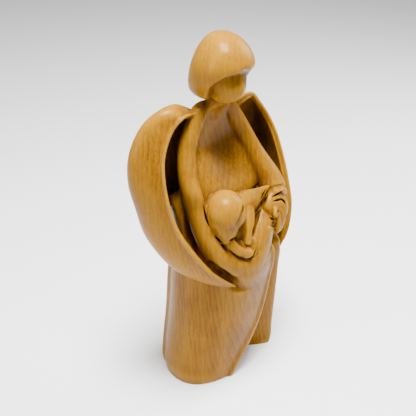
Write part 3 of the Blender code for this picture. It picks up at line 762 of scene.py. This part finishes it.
SWAY_SHARE = 0.004
PITH_PLACE = (0.055, -0.075, 0)
PITH_LEAN = (0.10, 0.06, 0)
RING_SCALE = 130.0
FIBRE_STRETCH = (1, 1, 0.06)
PORE_STRETCH = (1, 1, 0.18)
PORE_SCALE = 900.0
RING_COLOURS = ((0.0, (0.235, 0.105, 0.0025)), (0.6, (0.2, 0.086, 0.002)), (1.0, (0.155, 0.063, 0.0015)))
STREAK_COLOUR = (0.275, 0.13, 0.004)
FIBRE_COLOUR = (0.68, 0.57, 0.36)
MOTTLE_COLOUR = (0.64, 0.54, 0.3)
PORE_COLOUR = (0.42, 0.3, 0.2)
# painted shade: the dark tone multiplied into the grooves and hollows
PAINTED_HOLLOW_SHADE = (0.2, 0.085, 0.02)
LACQUER_TINT = (1, 0.7, 0.32)
# lighter orange on ridges and edges: partly wear of the lacquer, partly a painted glow of light through the
# wood
EDGE_WEAR_AND_GLOW_COLOUR = (0.4, 0.19, 0.006)
FLOOR_HALF = 1.5
FLOOR_COLOUR = (0.9, 0.9, 0.9)
WORLD_STRENGTH = 0.4
LAMPS = (
    ("upper lamp", (-0.05, -0.09, 0.68), 19.0, 0.22),
    ("left lamp", (-0.6, 0.2, 0.3), 2.5, 0.3),
    ("right lamp", (0.5, -0.1, 0.4), 3.5, 0.3),
)
CAMERA_TURN = -45
CAMERA_PITCH = 30
CAMERA_DISTANCE = 0.385
CAMERA_AIM = (-0.00389, 0.00389, 0.102)
CAMERA_LENS = 60.75
CAMERA_SENSOR = 36
CAMERA_NEAR = 0.01


def lacquered_wood():
    """Honey-brown wood: growth rings, fine fibres, pores and mottling under a soft clear lacquer, with
    painted shade in the hollows and lighter edges that show wear and a painted glow.
    """
    material = bpy.data.materials.new("lacquered wood")
    material.use_nodes = True
    n = Nodes(material)
    shader = material.node_tree.nodes["Principled BSDF"]
    place = n.add("ShaderNodeTexCoord").outputs["Object"]

    sway = n.add("ShaderNodeTexNoise", Vector=place, Scale=22.0, Detail=2.0).outputs["Color"]
    swayed = n.mix_vector(place, sway, SWAY_SHARE)
    turned = n.add(
        "ShaderNodeMapping", Vector=swayed, Location=PITH_PLACE, Rotation=PITH_LEAN
    ).outputs["Vector"]
    rings = n.add(
        "ShaderNodeTexWave",
        {"wave_type": "RINGS", "rings_direction": "Z", "wave_profile": "SAW"},
        Vector=turned, Scale=RING_SCALE, Distortion=1.8, Detail=1.0, Detail_Scale=1.2, Detail_Roughness=0.6,
    ).outputs["Fac"]

    stretched = n.add("ShaderNodeMapping", Vector=swayed, Scale=FIBRE_STRETCH).outputs["Vector"]
    fibres = n.add(
        "ShaderNodeTexNoise", Vector=stretched, Scale=900.0, Detail=4.0, Roughness=0.62
    ).outputs["Fac"]
    streaks = n.add(
        "ShaderNodeTexNoise", Vector=stretched, Scale=150.0, Detail=3.0, Roughness=0.55
    ).outputs["Fac"]
    pore_place = n.add("ShaderNodeMapping", Vector=swayed, Scale=PORE_STRETCH).outputs["Vector"]
    pores = n.add("ShaderNodeTexVoronoi", Vector=pore_place, Scale=PORE_SCALE).outputs["Distance"]
    mottle = n.add("ShaderNodeTexNoise", Vector=place, Scale=38.0, Detail=3.0, Roughness=0.5).outputs["Fac"]
    hollow = n.add("ShaderNodeAttribute", {"attribute_name": "hollow"}).outputs["Fac"]

    ringed = n.ramp(rings, RING_COLOURS)
    streaked = n.mix_colour("MIX", n.stretch(streaks, 0.38, 0.66), ringed, STREAK_COLOUR, 0.55)
    fibred = n.mix_colour("MULTIPLY", n.stretch(fibres, 0.66, 0.34), streaked, FIBRE_COLOUR, 0.85)
    mottled = n.mix_colour("MULTIPLY", n.stretch(mottle, 0.62, 0.34), fibred, MOTTLE_COLOUR, 0.7)
    pored = n.mix_colour("MULTIPLY", n.stretch(pores, 0.22, 0.06), mottled, PORE_COLOUR, 0.8)
    # painted shade darkens the grooves and hollows
    with_painted_shade = n.mix_colour("MULTIPLY", n.stretch(hollow, 0.54, 0.95), pored, PAINTED_HOLLOW_SHADE, 0.65)
    # ridges turn lighter orange: wear of the edges and a painted glow
    worn_and_painted_glow = n.mix_colour("MIX", n.stretch(hollow, 0.44, 0.1), with_painted_shade, EDGE_WEAR_AND_GLOW_COLOUR, 0.45)
    n.put(shader, "Base Color", worn_and_painted_glow)

    dull = n.add("ShaderNodeMapRange", Value=fibres, To_Min=0.30, To_Max=0.46).outputs["Result"]
    n.put(shader, "Roughness", dull)
    shader.inputs["Specular IOR Level"].default_value = 0.1
    shader.inputs["Specular Tint"].default_value = (*LACQUER_TINT, 1)
    shader.inputs["Coat Weight"].default_value = 0.06
    shader.inputs["Coat Roughness"].default_value = 0.16
    shader.inputs["IOR"].default_value = 1.5

    pore_walls = n.math("MULTIPLY", n.stretch(pores, 0.0, 0.14), 0.4)
    relief = n.math("ADD", n.math("MULTIPLY", fibres, 0.6), pore_walls)
    bump = n.add("ShaderNodeBump", Strength=0.35, Distance=0.00012, Height=relief).outputs["Normal"]
    n.put(shader, "Normal", bump)
    return material


def pale_floor():
    """A plain pale floor, wide enough to fill every view."""
    mesh = bmesh.new()
    bmesh.ops.create_grid(mesh, x_segments=1, y_segments=1, size=FLOOR_HALF)
    data = bpy.data.meshes.new("floor")
    mesh.to_mesh(data)
    mesh.free()
    floor = bpy.data.objects.new("floor", data)
    bpy.context.scene.collection.objects.link(floor)
    material = bpy.data.materials.new("pale floor")
    material.use_nodes = True
    shader = material.node_tree.nodes["Principled BSDF"]
    shader.inputs["Base Color"].default_value = (*FLOOR_COLOUR, 1)
    shader.inputs["Roughness"].default_value = 0.7
    data.materials.append(material)


def look_from(thing, place, target):
    """Puts a lamp or the camera at a place, turned towards a target."""
    thing.location = place
    thing.rotation_euler = (Vector(target) - Vector(place)).to_track_quat("-Z", "Y").to_euler()
    bpy.context.scene.collection.objects.link(thing)


def studio_lights():
    """Soft light from all round, with a broad lamp above and weaker ones at the sides."""
    world = bpy.data.worlds.new("studio")
    world.use_nodes = True
    world.node_tree.nodes["Background"].inputs["Color"].default_value = (1, 1, 1, 1)
    world.node_tree.nodes["Background"].inputs["Strength"].default_value = WORLD_STRENGTH
    bpy.context.scene.world = world
    for name, place, power, size in LAMPS:
        lamp = bpy.data.lights.new(name, "AREA")
        lamp.energy = power
        lamp.size = size
        look_from(bpy.data.objects.new(name, lamp), place, (0, 0, HEIGHT / 2))


def photo_camera():
    """The camera at the photograph's viewing angle."""
    turn, pitch = math.radians(CAMERA_TURN), math.radians(CAMERA_PITCH)
    back = Vector((
        math.sin(turn) * math.cos(pitch), -math.cos(turn) * math.cos(pitch), math.sin(pitch)
    ))
    camera = bpy.data.cameras.new("camera")
    camera.sensor_width = CAMERA_SENSOR
    camera.lens = CAMERA_LENS
    camera.clip_start = CAMERA_NEAR
    thing = bpy.data.objects.new("camera", camera)
    look_from(thing, Vector(CAMERA_AIM) + back * CAMERA_DISTANCE, CAMERA_AIM)
    bpy.context.scene.camera = thing


figure = carved_figure()
mark_hollows(figure)
figure.data.materials.clear()
figure.data.materials.append(lacquered_wood())
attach(figure, "root")
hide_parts("guardian_angel")
pale_floor()
studio_lights()
photo_camera()
